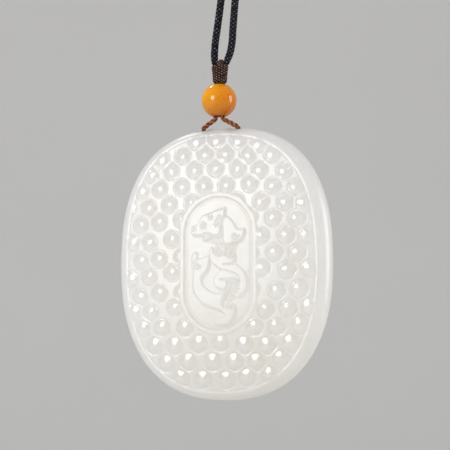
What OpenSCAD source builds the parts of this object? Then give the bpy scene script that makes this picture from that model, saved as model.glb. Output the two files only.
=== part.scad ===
// A white jade plaque on its neck cord, in millimetres. The plaque is a rounded oval slab.
// Its crowned front carries rows of small bosses round a cartouche with a chi dragon.
// +Z is up and the front looks along -Y. The origin is the underside of the neck cord,
// where the cord hangs over its hook.

/* [Plaque] */
// Width of the plaque
plaque_w = 49.2; // [48.6:0.1:50]
// Height of the plaque
plaque_h = 60; // [59:0.5:61.5]
// Thickness of the rounded edge
edge_t = 7; // [6.8:0.1:7.4]
// How far the middle of the front stands in front of the edge
crown = 1.35; // [1.2:0.05:1.5]

/* [Bosses] */
// Distance between the bosses of a row
boss_pitch = 5.2; // [5.1:0.05:5.3]
// Radius of a boss
boss_r = 1; // [0.8:0.05:1.1]
// Height of a boss above its dish
boss_h = 0.55; // [0.4:0.05:0.6]
// Width of the dish that a boss stands in
dish_w = 3.8; // [3.2:0.1:3.9]
// Depth of that dish
dish_depth = 0.3; // [0.2:0.05:0.35]

/* [Cartouche] */
// Width of the raised ring
ring_w = 18; // [17.4:0.1:18.4]
// Height of the raised ring
ring_h = 31.4; // [30.8:0.1:31.8]
// Width of the ring's band
ring_band = 1.2; // [1:0.1:1.4]
// Height of the ring above the front
ring_rise = 0.45; // [0.3:0.05:0.6]
// Depth of the panel inside the ring
panel_drop = 0.25; // [0.15:0.05:0.3]
// Height of the dragon above the front
dragon_rise = 0.35; // [0.25:0.05:0.45]

/* [Bead, wrap and cords] */
// Diameter of the bead
bead_d = 7.8; // [7.7:0.05:7.8]
// Diameter of the hole through the bead
bead_hole_d = 2.9; // [2.8:0.05:3]
// Diameter of the brown thread that carries the plaque
thread_d = 1.05; // [0.9:0.05:1.1]
// Diameter of the braided neck cord
cord_d = 1.65; // [1.5:0.05:1.7]

/* [Hidden] */
$fn = 48;

// Heights of the pieces under the hook
plaque_z = -356.4;
bead_z = -320.1;
knot_z = -316.3;
top_z = plaque_z + plaque_h / 2;
// The plaque is drilled a little left of its middle, and the bead hangs further left still
drop_x = -1;
bead_x = -1.4;
knot_x = -1.2;
// This sets the plaque's centre of gravity straight under the thread
plaque_y = 0.15;

// How square the oval is above and below its middle, 2 being an ellipse
head_n = 2.5;
foot_n = 2.35;
outline_points = 72;
// Angles round the half-round edge, from the back to where the crown meets it
edge_angles = [90, 65, 43, 21, 0, -21, -43, -72];
crown_r = 160;
crown_facets = 240;
front_y = -edge_t / 2 - crown;
crown_y = front_y + crown_r;
// The slab reaches past the crown, which cuts it
slab_front = front_y - 1;

// The two drilled holes meet below the edge and widen towards their mouths, so that the
// plaque can swing on its thread
tunnel_depth = 3.6;
tunnel_r = 0.75;
mouth_x = 4.2;
mouth_r = 1.25;
mouth_drop = 0.15;
chamber_r = 0.95;
tunnel_slope = atan2(mouth_x, tunnel_depth - mouth_drop);
tunnel_l = norm([mouth_x, tunnel_depth - mouth_drop]);
cutter_l = 8;

// Rows of bosses: height above the middle, first column, last column, arch of the row
boss_rows = [
    [27.1, -1, 2, 0.015],
    [24.1, -2.5, 2.5, 0.003],
    [20.5, -3, 3, 0.002],
    [16.9, -3.5, 3.5, 0],
    [13, -4, 4, 0],
    [9.3, -3.5, 3.5, 0],
    [5.3, -4, 4, 0],
    [1.4, -3.5, 3.5, 0],
    [-2.4, -4, 4, 0],
    [-6.4, -3.5, 3.5, 0],
    [-10.2, -4, 4, 0],
    [-14, -3.5, 3.5, 0],
    [-17.8, -3, 3, 0],
    [-21.5, -2.5, 2.5, 0],
    [-25.1, -2, 2, 0]];
// The columns lean by this much for each millimetre down
boss_lean = 0.0385;
// A boss needs this much of the front round it, and this much between it and the ring
boss_edge_room = 2.6;
ring_room = 0.2;
ring_z = -0.2;

// The dragon's forms on the panel, measured from the panel's middle
head = [
    [-5.7, 7.4], [-5.1, 8.5], [-4.5, 8.7], [-3.7, 9.9], [-2.6, 10.8], [-1.3, 11.1], [-0.4, 11.7],
    [1.5, 12.3], [2, 10.9], [1.1, 9.5], [0.9, 7.8], [0.5, 6.5], [-1.3, 6], [-2.7, 5.3],
    [-3.5, 6.1], [-4.9, 6.3]];
neck = [
    [2.3, 10.6], [3.3, 9.5], [4.1, 8.3], [5.2, 7.7], [6.6, 7.9], [6.5, 6.4], [5.8, 5.1],
    [4.6, 4.8], [3.4, 5.4], [3.3, 4.6], [2.1, 4.4], [1.6, 7.2], [1.3, 9.4]];
belly = [
    [0.9, 4.5], [-0.5, 3.9], [-1.3, 2.6], [-1.1, 1], [-0.2, -0.3], [1.3, -0.7], [3.2, -0.1],
    [4.3, 1], [4.3, 2.6], [3.1, 3], [2.4, 2.4], [2.2, 3.7]];
haunch = [
    [-1.7, 1.8], [-3.6, 1.2], [-5, 2.6], [-5.4, 1.2], [-5.7, -0.6], [-5.3, -1.8], [-5.5, -3.9],
    [-5.1, -6.2], [-3.8, -8.2], [-1.9, -9.5], [0.2, -10.1], [1.6, -10.4], [1.3, -9.1],
    [1.5, -7.8], [2.3, -6], [0.4, -6.8], [-1.4, -6.4], [-2.7, -5.2], [-3.3, -3.5],
    [-2.8, -2.1], [-1.5, -0.8]];
tail = [
    [2.4, -9.1], [3.3, -8.6], [4.4, -9.3], [4.3, -10.8], [3.5, -12.4], [2.1, -13.2],
    [0.1, -13.3], [-0.4, -12.2], [0.7, -11.9], [1.8, -11.4]];
// The arm's middle line: across, up, half width
arm = [
    [1.6, -0.9, 0.5], [3.4, -0.9, 0.6], [4.9, -1.6, 0.7], [6, -2.9, 0.7], [6.3, -4.4, 0.65],
    [6, -5.9, 0.7], [4.7, -6.4, 0.9]];
// The curl in the middle of the dragon: centre across, centre up, radius
curl = [1.3, -4.1, 1.9];
eye = [-2.9, 8.7, 0.9];
feature_rise = 0.2;
curve_steps = 3;

// Half of the brown thread, from the bottom of its loop to its end in the wrap: across
// from the drop's middle, height above the plaque's top
thread_half = [
    [0, -3.35], [0.9, -3.05], [1.8, -2.4], [2.7, -1.65], [3.4, -1.1], [3.95, -0.6],
    [4.1, -0.05], [3.75, 0.4], [3.1, 0.85], [2.2, 1.4], [1.3, 1.9], [0.8, 2.4], [0.68, 3.2],
    [0.68, 6.5], [0.68, 10]];
// Above the plaque's top the thread leans towards the bead, and it enters it at this height
bead_entry = 2.4;
// Sections of the wrap: height above its foot, half width, half depth
knot_sections = [
    [0, 1.4, 1.15], [0.3, 1.6, 1.3], [1.6, 1.68, 1.4], [2.9, 1.82, 1.45], [4, 1.92, 1.5],
    [4.25, 1.8, 1.35]];
// The neck cord's middle line, from its left end in the wrap over the hook to its right end
cord_route = [
    [-2.4, -311.9], [-2.45, -311.2], [-2.5, -310], [-2.4, -308], [-1.85, -304], [-1, -298],
    [-0.4, -292], [0, -282], [-0.4, -267], [-1.8, -242], [-3.8, -202], [-5.9, -152],
    [-8.1, -92], [-9.6, -50], [-10.5, -25], [-10.85, -10], [-10, -5.8], [-7.7, -2.3],
    [-4.2, 0], [0, 0.85], [4.2, 0], [7.7, -2.3], [10, -5.8], [10.85, -10], [10.5, -25],
    [9.6, -50], [8.1, -92], [6.5, -152], [5.4, -202], [4.9, -242], [4.6, -267], [4, -282],
    [3.1, -292], [2.4, -298], [1.9, -304], [1.6, -308], [1.3, -309.7], [0.8, -311],
    [0.55, -311.9]];
knot_points = 16;
cord_sides = 8;

// A closed skin over a stack of rings, all with the same number of points
module skin(rings) {
    n = len(rings[0]);
    last = len(rings) - 1;
    foot = [[for (j = [0 : n - 1]) j]];
    cap = [[for (j = [n - 1 : -1 : 0]) last * n + j]];
    walls = [
        for (i = [0 : last - 1], j = [0 : n - 1])
            [i * n + j, (i + 1) * n + j, (i + 1) * n + (j + 1) % n, i * n + (j + 1) % n]];
    polyhedron([for (ring = rings) each ring], concat(foot, walls, cap), convexity = 6);
}

// A round tube along a route that lies in the plane y = 0
module tube(route, d) {
    last = len(route) - 1;
    skin([
        for (i = [0 : last])
            let (
                way = route[min(i + 1, last)] - route[max(i - 1, 0)],
                side = [way[1], -way[0]] / norm(way))
            [for (j = [0 : cord_sides - 1])
                let (a = 360 * (j + 0.5) / cord_sides, out = d / 2 * cos(a))
                [route[i][0] + side[0] * out, d / 2 * sin(a), route[i][1] + side[1] * out]]]);
}

// The oval, as a superellipse that is squarer above its middle than below it
function square_up(c, n) = sign(c) * pow(abs(c), 2 / n);
function outline(a, inset) =
    let (n = sin(a) < 0 ? foot_n : head_n)
    [(plaque_w / 2 - inset) * square_up(cos(a), n), (plaque_h / 2 - inset) * square_up(sin(a), n)];
// Distance from a point of the front to the oval, measured away from the middle
function edge_room(p) =
    let (
        n = p[1] < 0 ? foot_n : head_n,
        part = pow(pow(abs(p[0]) / plaque_w * 2, n) + pow(abs(p[1]) / plaque_h * 2, n), 1 / n))
    norm(p) * (1 / part - 1);
// Distance from a point of the front to the outside of the cartouche's ring
function from_ring(p) =
    let (straight = (ring_h - ring_w) / 2)
    norm([p[0], max(abs(p[1] - ring_z) - straight, 0)]) - ring_w / 2;

// The slab with its half-round edge, too thick at the front, where the crown cuts it
module slab() {
    edge = [for (a = edge_angles) [edge_t / 2 * (1 - cos(a)), edge_t / 2 * sin(a)]];
    sections = concat(edge, [[edge[len(edge) - 1][0], slab_front]]);
    skin([
        for (s = sections)
            [for (j = [0 : outline_points - 1])
                let (p = outline(360 * j / outline_points, s[0])) [p[0], s[1], p[1]]]]);
}

module crown_ball(rise) translate([0, crown_y, 0]) sphere(r = crown_r + rise, $fn = crown_facets);

// Puts its children on the crowned front at a point, with their +Z out of the front
module on_front(p, out) {
    lean_x = asin(p[0] / crown_r);
    lean_z = asin(p[1] / crown_r);
    translate([0, crown_y, 0])
        rotate([0, 0, lean_x])
            rotate([90 - lean_z, 0, 0])
                translate([0, 0, crown_r + out]) children();
}

// A flat form on the front, cut off where it stands this much above it
module relief(rise) {
    intersection() {
        rotate([90, 0, 0]) linear_extrude(edge_t) children();
        crown_ball(rise);
    }
}

module stadium(w, h) {
    square([w, h - w], center = true);
    for (side = [-1, 1]) translate([0, side * (h - w) / 2]) circle(d = w);
}

// Where the bosses stand, between the edge and the ring
boss_places = [
    for (row = boss_rows, column = [row[1] : row[2]])
        let (
            x = boss_pitch * column - boss_lean * row[0],
            place = [x, row[0] - row[3] * x * x])
        if (edge_room(place) > boss_edge_room && from_ring(place) > boss_r + ring_room) place];

module dishes() {
    dish_r = (pow(dish_w / 2, 2) + pow(dish_depth, 2)) / (2 * dish_depth);
    for (p = boss_places)
        on_front(p, dish_r - dish_depth) sphere(r = dish_r);
}

module bosses() {
    for (p = boss_places) on_front(p, boss_h - dish_depth - boss_r) sphere(r = boss_r);
}

module cartouche_cut() {
    difference() {
        translate([0, 0, ring_z]) rotate([90, 0, 0])
            linear_extrude(edge_t + crown) stadium(ring_w - 2 * ring_band, ring_h - 2 * ring_band);
        crown_ball(-panel_drop);
    }
}

module ring() {
    relief(ring_rise) translate([0, ring_z]) difference() {
        stadium(ring_w, ring_h);
        stadium(ring_w - 2 * ring_band, ring_h - 2 * ring_band);
    }
}

// A band along a middle line with a half width at each of its points
module band(line) {
    last = len(line) - 1;
    sides = [
        for (i = [0 : last])
            let (
                a = line[max(i - 1, 0)],
                b = line[min(i + 1, last)],
                way = [b[0] - a[0], b[1] - a[1]],
                out = [-way[1], way[0]] / norm(way) * line[i][2])
            [[line[i][0] + out[0], line[i][1] + out[1]], [line[i][0] - out[0], line[i][1] - out[1]]]];
    polygon(concat([for (s = sides) s[0]], [for (i = [last : -1 : 0]) sides[i][1]]));
}

// A closed curve through the points of a form
function rounded(form) =
    let (n = len(form))
    [for (i = [0 : n - 1], k = [0 : curve_steps - 1])
        let (
            a = form[(i + n - 1) % n],
            b = form[i],
            c = form[(i + 1) % n],
            d = form[(i + 2) % n],
            u = k / curve_steps)
        b + (c - a) * u / 2 + (2 * a - 5 * b + 4 * c - d) * pow(u, 2) / 2
            + (3 * b - a - 3 * c + d) * pow(u, 3) / 2];

module dragon() {
    relief(dragon_rise) translate([0, ring_z]) {
        for (form = [head, neck, belly, haunch, tail]) polygon(rounded(form));
        band(arm);
        translate([curl[0], curl[1]]) circle(r = curl[2]);
    }
    relief(dragon_rise + feature_rise) translate([eye[0], eye[1] + ring_z]) circle(r = eye[2]);
}

module tunnel() {
    translate([drop_x, 0, top_z - tunnel_depth]) {
        sphere(r = chamber_r);
        for (side = [-1, 1])
            rotate([0, side * tunnel_slope, 0])
                cylinder(
                    h = cutter_l,
                    r1 = tunnel_r,
                    r2 = tunnel_r + (mouth_r - tunnel_r) * cutter_l / tunnel_l);
    }
}

module plaque() {
    color("honeydew") difference() {
        translate([0, plaque_y, plaque_z]) {
            difference() {
                intersection() {
                    slab();
                    crown_ball(0);
                }
                dishes();
                cartouche_cut();
            }
            bosses();
            ring();
            dragon();
        }
        tunnel();
    }
}

module hanging_thread() {
    last = len(thread_half) - 1;
    far_half = [for (i = [last : -1 : 1]) [-thread_half[i][0], thread_half[i][1]]];
    route = [
        for (p = concat(far_half, thread_half))
            let (lean = min(max(p[1] / bead_entry, 0), 1))
            [p[0] + (bead_x - drop_x) * lean, p[1]]];
    color("sienna") translate([drop_x, 0, top_z]) tube(route, thread_d);
}

module bead() {
    color("orange") translate([bead_x, 0, bead_z]) difference() {
        sphere(d = bead_d);
        cylinder(h = bead_d * 2, d = bead_hole_d, center = true);
    }
}

module knot() {
    color([0.2, 0.12, 0.1]) translate([knot_x, 0, knot_z]) skin([
        for (s = knot_sections)
            [for (j = [0 : knot_points - 1])
                let (a = 360 * (j + 0.5) / knot_points) [s[1] * cos(a), s[2] * sin(a), s[0]]]]);
}

module neck_cord() {
    color([0.1, 0.1, 0.16]) tube(cord_route, cord_d);
}

plaque();
hanging_thread();
bead();
knot();
neck_cord();
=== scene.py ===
import math
import bpy
import numpy as np
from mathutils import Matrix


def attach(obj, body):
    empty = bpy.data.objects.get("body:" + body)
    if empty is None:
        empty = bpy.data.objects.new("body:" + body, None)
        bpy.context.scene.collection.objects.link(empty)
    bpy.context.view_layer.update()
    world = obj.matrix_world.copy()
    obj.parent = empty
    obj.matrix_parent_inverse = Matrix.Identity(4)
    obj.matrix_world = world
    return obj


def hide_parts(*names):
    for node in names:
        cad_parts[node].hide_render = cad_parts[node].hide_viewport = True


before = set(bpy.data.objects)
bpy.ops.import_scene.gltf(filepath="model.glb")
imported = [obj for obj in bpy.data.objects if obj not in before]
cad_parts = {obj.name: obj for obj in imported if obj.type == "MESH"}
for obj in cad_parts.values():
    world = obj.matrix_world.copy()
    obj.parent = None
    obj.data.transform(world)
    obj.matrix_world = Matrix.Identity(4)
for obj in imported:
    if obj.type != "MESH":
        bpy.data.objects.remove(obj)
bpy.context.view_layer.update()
mm = 0.001  # sizes below are in millimetres, meshes are written in metres
print("frame loaded:", sorted(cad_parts))


# helpers for colours, nodes and meshes

def linearColour(hexText):
    # sRGB hex to linear: c / 12.92 near black, else ((c + 0.055) / 1.055) to the power 2.4
    parts = [int(hexText[i:i + 2], 16) / 255 for i in (1, 3, 5)]
    return tuple(c / 12.92 if c <= 0.04045 else ((c + 0.055) / 1.055) ** 2.4 for c in parts) + (1,)


def addNode(tree, kind, settings=None, inputs=None):
    # adds a node with its settings; an input given as a socket is linked, any other is set
    node = tree.nodes.new("ShaderNode" + kind)
    for name, value in (settings or {}).items():
        setattr(node, name, value)
    for name, value in (inputs or {}).items():
        if isinstance(value, bpy.types.NodeSocket):
            tree.links.new(value, node.inputs[name])
        else:
            node.inputs[name].default_value = value
    return node


def ramp(tree, value, start, end, low=0, high=1):
    # straight from low, where the value is start, to high, where it is end
    return addNode(tree, "MapRange", None, {
        "Value": value, "From Min": start, "From Max": end, "To Min": low, "To Max": high}).outputs[0]


def mixColours(tree, share, first, second):
    # the first colour at share 0 and the second at 1; each is a hex colour or an earlier mix
    first, second = (linearColour(c) if isinstance(c, str) else c for c in (first, second))
    return addNode(tree, "Mix", {"data_type": "RGBA"}, {0: share, 6: first, 7: second}).outputs[2]


def noise(tree, place, scale, detail, more=None):
    # soft random patches, 1 / scale wide
    return addNode(tree, "TexNoise", None, {
        "Vector": place, "Scale": scale, "Detail": detail, **(more or {})}).outputs["Fac"]


def addBump(tree, height, look):
    # a bump from the look's strength and its depth in millimetres
    return addNode(tree, "Bump", None, {
        "Height": height, "Strength": look["bump"], "Distance": look["bumpMm"] * mm}).outputs[0]


def newMaterial(name):
    # an empty material with its output node
    material = bpy.data.materials.new(name)
    material.use_nodes = True
    material.node_tree.nodes.clear()
    addNode(material.node_tree, "OutputMaterial")
    return material, material.node_tree


def addSurface(tree, inputs):
    # the shader, linked to the material's output
    shader = addNode(tree, "BsdfPrincipled", None, inputs)
    tree.links.new(shader.outputs[0], tree.nodes["Material Output"].inputs["Surface"])


def facingOut(points, faces):
    # the sum of a . (b x c) over both triangles of every quad, from the middle of the points, is
    # positive if they face out; if it isn't, every face is turned over
    quads = next(f for f in faces if f.shape[1] == 4)
    a, b, c, d = ((points - points.mean(0))[quads[:, k]] for k in range(4))
    volume = (np.cross(b, c) * a).sum() + (np.cross(c, d) * a).sum()
    return faces if volume > 0 else [f[:, ::-1] for f in faces]


def makePiece(name, points, faces, material, attributes=None):
    # points are n x 3 in millimetres; faces is a list of index arrays, one for each corner count
    faces = facingOut(points, faces)
    corners = np.concatenate([f.ravel() for f in faces]).astype(np.int32)
    sizes = np.concatenate([np.full(len(f), f.shape[1]) for f in faces])
    starts = (np.cumsum(sizes) - sizes).astype(np.int32)
    mesh = bpy.data.meshes.new(name)
    mesh.vertices.add(len(points))
    mesh.vertices.foreach_set("co", (points * mm).astype(np.float32).ravel())
    mesh.loops.add(len(corners))
    mesh.loops.foreach_set("vertex_index", corners)
    mesh.polygons.add(len(starts))
    mesh.polygons.foreach_set("loop_start", starts)
    mesh.polygons.foreach_set("use_smooth", np.ones(len(starts), bool))
    mesh.update(calc_edges=True)
    mesh.validate()
    for key, values in (attributes or {}).items():
        mesh.attributes.new(key, "FLOAT", "POINT").data.foreach_set("value", values.astype(np.float32))
    mesh.materials.append(material)
    piece = bpy.data.objects.new(name, mesh)
    bpy.context.scene.collection.objects.link(piece)
    print("made", name, "with", int((sizes - 2).sum()), "triangles")
    return piece


def gridFaces(strips, rings, sides, closedRings=False):
    # quads of strips x rings x sides points, closed round the sides, and round the rings if asked;
    # open strips get a cap at both ends
    k = np.arange(strips)[:, None, None] * rings * sides
    i = np.arange(rings if closedRings else rings - 1)[None, :, None]
    j = np.arange(sides)[None, None, :]
    nextI, nextJ = (i + 1) % rings, (j + 1) % sides
    quads = np.stack(np.broadcast_arrays(
        k + i * sides + j, k + i * sides + nextJ, k + nextI * sides + nextJ, k + nextI * sides + j), -1)
    faces = [quads.reshape(-1, 4)]
    if not closedRings:
        faces += [k[:, 0] + np.arange(sides)[::-1], k[:, 0] + (rings - 1) * sides + np.arange(sides)]
    return faces


def joinParts(parts):
    # several (points, faces) become one, with the later ones' indices moved up
    points, faces, count = [], [], 0
    for p, f in parts:
        points.append(p)
        faces += [part + count for part in facingOut(p, f)]
        count += len(p)
    return np.concatenate(points), faces


def unit(vectors):
    # each vector over its own length
    return vectors / np.linalg.norm(vectors, axis=-1, keepdims=True)


def smoothRoute(points, step):
    # a cubic through the points, its slope at each point taken from the neighbours on both sides
    # over their chord lengths, then read off again at an even step along its length; where step
    # is an array, it is read off at those shares of its length
    p, readMm = np.asarray(points, float), 0.05
    t = np.concatenate([[0], np.cumsum(np.linalg.norm(np.diff(p, axis=0), axis=1))])
    slope = np.gradient(p, t, axis=0)
    at = np.linspace(0, t[-1], int(t[-1] / readMm) + 2)
    k = np.clip(np.searchsorted(t, at, side="right") - 1, 0, len(t) - 2)
    span = (t[k + 1] - t[k])[:, None]
    u = (at - t[k])[:, None] / span
    curve = ((2 * u ** 3 - 3 * u ** 2 + 1) * p[k] + (u ** 3 - 2 * u ** 2 + u) * span * slope[k]
             + (3 * u ** 2 - 2 * u ** 3) * p[k + 1] + (u ** 3 - u ** 2) * span * slope[k + 1])
    length = np.concatenate([[0], np.cumsum(np.linalg.norm(np.diff(curve, axis=0), axis=1))])
    wanted = step if isinstance(step, np.ndarray) else np.linspace(0, 1, int(length[-1] / step) + 1)
    return np.stack([np.interp(wanted * length[-1], length, curve[:, c]) for c in range(3)], 1), length[-1]


def directions(turn, side, depth):
    # the directions round a path: cos(turn) * side + sin(turn) * depth
    return np.cos(turn)[..., None] * side + np.sin(turn)[..., None] * depth


def evenTurns(count):
    # that many angles, spread evenly over a full turn: 2 pi * k / count
    return 2 * math.pi * np.arange(count) / count


def turnedProfile(profile, around, middle):
    # a profile of (radius, height) turned round an upright axis through the middle:
    # (radius * cos(turn), radius * sin(turn), height) + middle
    radius, turn = profile[:, None, 0], evenTurns(around)
    height = np.broadcast_to(profile[:, None, 1], (len(profile), around))
    return (np.stack([radius * np.cos(turn), radius * np.sin(turn), height], -1) + middle).reshape(-1, 3)


def seenFrom(azimuthDeg, elevationDeg):
    # the direction towards a camera or lamp, (sin(a) cos(e), -cos(a) cos(e), sin(e)), and the
    # rotation with which it looks back
    a, e = math.radians(azimuthDeg), math.radians(elevationDeg)
    direction = np.array([math.sin(a) * math.cos(e), -math.cos(a) * math.cos(e), math.sin(e)])
    return direction, (math.pi / 2 - e, 0, a)


# camera at the photo's angle: a little right of the front and slightly below the middle
view = {"azimuth": 20, "elevation": -4.9, "distance": 0.400, "target": (0, 0, -0.3479), "lens": 145,
        "sensor": 36, "clip": 0.01}  # degrees, metres; lens and sensor in millimetres

back, rotation = seenFrom(view["azimuth"], view["elevation"])
cameraData = bpy.data.cameras.new("photoCamera")
cameraData.lens = view["lens"]
cameraData.sensor_width = view["sensor"]
cameraData.clip_start = view["clip"]
camera = bpy.data.objects.new("photoCamera", cameraData)
bpy.context.scene.collection.objects.link(camera)
camera.location = np.array(view["target"]) + back * view["distance"]
camera.rotation_euler = rotation
bpy.context.scene.camera = camera
bpy.context.scene.view_settings.view_transform = "Standard"


# materials

noiseRange = (0.35, 0.65)  # where most values of a noise texture lie
fibre = {"stretch": 0.2, "patchesPerMm": 2.3, "patchRange": (0.38, 0.6), "dullPatch": 0.45, "bump": 0.5,
         "bumpMm": 0.04, "specular": 0.15, "sheen": 0.02, "sheenSpread": 0.4, "ior": 1.53}


def fibreMaterial(name, dark, light, paintedGlintAndSheenTint, filamentMm, roughness, crest=1):
    # twisted nylon thread: filaments run along each strand and break its painted glints into long streaks;
    # painted shade makes each strand dark in its low parts and grooves and light on top, and painted glints
    # are blended into the colour where strands cross on top, in share lift ** crest, more in some patches than
    # in others; real filaments are 0.03 mm, too fine to show, so the streaks are drawn coarser
    material, tree = newMaterial(name)
    along, around, lift = (addNode(tree, "Attribute", {"attribute_name": key}).outputs["Fac"]
                           for key in ("along", "around", "lift"))
    lay = addNode(tree, "CombineXYZ", None, {0: along, 1: around})
    stretched = addNode(tree, "VectorMath", {"operation": "MULTIPLY"}, {
        0: lay.outputs[0], 1: (fibre["stretch"] / filamentMm, 1 / filamentMm, 0)})
    filaments = noise(tree, stretched.outputs[0], 1, 2)
    streaks = ramp(tree, filaments, *noiseRange)
    place = addNode(tree, "TexCoord").outputs["Object"]
    patches = noise(tree, place, fibre["patchesPerMm"] / mm, 1)
    uneven = ramp(tree, patches, *fibre["patchRange"], fibre["dullPatch"])
    top = addNode(tree, "Math", {"operation": "POWER"}, {0: lift, 1: crest})
    paintedGlintShare = addNode(tree, "Math", {"operation": "MULTIPLY"}, {0: uneven, 1: top.outputs[0]})
    paintedGlintMask = addNode(tree, "Math", {"operation": "MULTIPLY"}, {0: streaks, 1: paintedGlintShare.outputs[0]})
    # painted shade: the dark colour where the strand lies low, the light colour where it lies on top
    paintedShadeBase = mixColours(tree, lift, dark, light)
    # painted highlight: glints blended into the colour on the crests
    colour = mixColours(tree, paintedGlintMask.outputs[0], paintedShadeBase, paintedGlintAndSheenTint)
    bump = addBump(tree, filaments, fibre)
    addSurface(tree, {
        "Base Color": colour, "Normal": bump, "Roughness": roughness, "IOR": fibre["ior"],
        "Specular IOR Level": fibre["specular"], "Sheen Weight": fibre["sheen"],
        "Sheen Roughness": fibre["sheenSpread"], "Sheen Tint": linearColour(paintedGlintAndSheenTint)})
    return material


# white nephrite, ground and hand polished: milky and slightly see-through, so its relief has
# soft shades, with a greasy gloss that shows the lamps as soft spots; the marks that the polish
# leaves are too fine to show and are drawn 0.4 mm wide
jade = {"cream": "#E4E0DA", "milk": "#E7E5E1", "cloud": "#DEDBD5", "foot": "#D8D5CF",
        "cloudMm": 9, "wispMm": 3.5, "wispRange": (0.5, 0.75), "wispShare": 0.5,
        "polishPerMm": 2.5, "bump": 0.12, "bumpMm": 0.02, "depthMm": 18,
        "depthShares": (1.0, 0.95, 0.85), "footShadeStarts": -0.365, "footShadeFull": -0.384,
        "satin": 0.36, "polished": 0.08, "ior": 1.61}

jadeMaterial, tree = newMaterial("whiteNephritePolished")
place = addNode(tree, "TexCoord").outputs["Object"]
clouds = noise(tree, place, 1 / (jade["cloudMm"] * mm), 4, {"Roughness": 0.55})
veil = ramp(tree, clouds, *noiseRange)
tone = mixColours(tree, veil, jade["cream"], jade["milk"])
wisps = noise(tree, place, 1 / (jade["wispMm"] * mm), 5, {"Distortion": 1.2})
wispMask = ramp(tree, wisps, *jade["wispRange"], high=jade["wispShare"])
stone = mixColours(tree, wispMask, tone, jade["cloud"])
height = addNode(tree, "SeparateXYZ", None, {0: place})
# painted shade: the foot colour is blended in towards the bottom of the plaque
paintedShadeToFoot = ramp(tree, height.outputs[2], jade["footShadeStarts"], jade["footShadeFull"])
stoneWithPaintedShade = mixColours(tree, paintedShadeToFoot, stone, jade["foot"])  # painted shade: a little greyer towards its foot, where less light reaches
gloss = addNode(tree, "Attribute", {"attribute_name": "gloss"})  # the bosses are polished most
roughness = ramp(tree, gloss.outputs["Fac"], 0, 1, jade["satin"], jade["polished"])
polish = noise(tree, place, jade["polishPerMm"] / mm, 2)
polishBump = addBump(tree, polish, jade)
addSurface(tree, {
    "Base Color": stoneWithPaintedShade, "Normal": polishBump, "Roughness": roughness,
    "IOR": jade["ior"], "Subsurface Weight": 1.0, "Subsurface Radius": jade["depthShares"],
    "Subsurface Scale": jade["depthMm"] * mm})

# honey amber, turned and polished: cloudy orange, with painted light making it paler on its left and painted
# shade making it deeper at its foot, a few dark specks and a clear wet gloss
amber = {"orange": "#EE7E00", "yellow": "#FFB900", "deep": "#B45C00", "speck": "#8A4806",
         "cloudMm": 4, "cloudShare": 0.5, "specksPerMm": 0.9, "speckRange": (0.12, 0.2), "speckShare": 0.35,
         "litSideRange": (0.0012, -0.0048), "litSideShare": 0.7, "footShadeRange": (-0.324, -0.3185), "footShadeShare": 0.85,
         "milkiness": 0.15, "depthMm": 0.8, "depthShares": (1.0, 0.6, 0.2),
         "roughness": 0.08, "ior": 1.54, "specular": 0.42}

amberMaterial, tree = newMaterial("honeyAmberPolished")
place = addNode(tree, "TexCoord").outputs["Object"]
clouds = noise(tree, place, 1 / (amber["cloudMm"] * mm), 3, {"Distortion": 0.8})
height = addNode(tree, "SeparateXYZ", None, {0: place})
# painted light: paler yellow towards the lit left side
paintedLitSide = ramp(tree, height.outputs[0], *amber["litSideRange"], high=amber["litSideShare"])
cloudsAndPaintedLight = addNode(tree, "Math", {"operation": "MULTIPLY_ADD"}, {0: clouds, 1: amber["cloudShare"], 2: paintedLitSide})
honey = mixColours(tree, cloudsAndPaintedLight.outputs[0], amber["orange"], amber["yellow"])
# painted shade: the deep orange towards the foot
paintedFootShade = ramp(tree, height.outputs[2], *amber["footShadeRange"], amber["footShadeShare"], 0)
honeyWithPaintedShade = mixColours(tree, paintedFootShade, honey, amber["deep"])
specks = addNode(tree, "TexVoronoi", None, {"Vector": place, "Scale": amber["specksPerMm"] / mm})
speckMask = ramp(tree, specks.outputs["Distance"], *amber["speckRange"], amber["speckShare"], 0)
specked = mixColours(tree, speckMask, honeyWithPaintedShade, amber["speck"])
addSurface(tree, {
    "Base Color": specked, "Roughness": amber["roughness"], "IOR": amber["ior"],
    "Specular IOR Level": amber["specular"], "Subsurface Weight": amber["milkiness"],
    "Subsurface Radius": amber["depthShares"], "Subsurface Scale": amber["depthMm"] * mm})

# braided black nylon: nearly black, with small cold painted glints in a diamond pattern where the strands cross on
# top
cordMaterial = fibreMaterial(
    "blackNylonBraid", dark="#010102", light="#040409", paintedGlintAndSheenTint="#D8D8F0", filamentMm=0.3, roughness=0.5, crest=3.4)
# fine braid of waxed brown thread: dark, with a pale speckle of painted glints where the strands cross on top
wrapMaterial = fibreMaterial(
    "brownWaxedBraid", dark="#120402", light="#3C180F", paintedGlintAndSheenTint="#F4CDB8", filamentMm=0.22, roughness=0.5, crest=2.4)
# twisted russet thread: warm brown plies, with painted shade in the grooves between them and painted glints on
# their outer sides
threadMaterial = fibreMaterial(
    "russetTwistedThread", dark="#320F05", light="#783015", paintedGlintAndSheenTint="#D8966C", filamentMm=0.12, roughness=0.45)
print("materials ready")


# cords and threads

def strandTube(paths, outward, width, thickness):
    # each strand is a ridge of three corners, its flat side inwards, carried along its own path:
    # point = path + across * x + outward * y
    across = unit(np.cross(unit(np.gradient(paths, axis=1)), outward))
    corner = np.array([[-0.5, -0.35], [0.5, -0.35], [0, 0.65]]) * [width, thickness]
    points = paths[:, :, None] + across[:, :, None] * corner[:, :1] + outward[:, :, None] * corner[:, 1:]
    strips, rings = paths.shape[:2]
    return points.reshape(-1, 3), gridFaces(strips, rings, 3)


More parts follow.
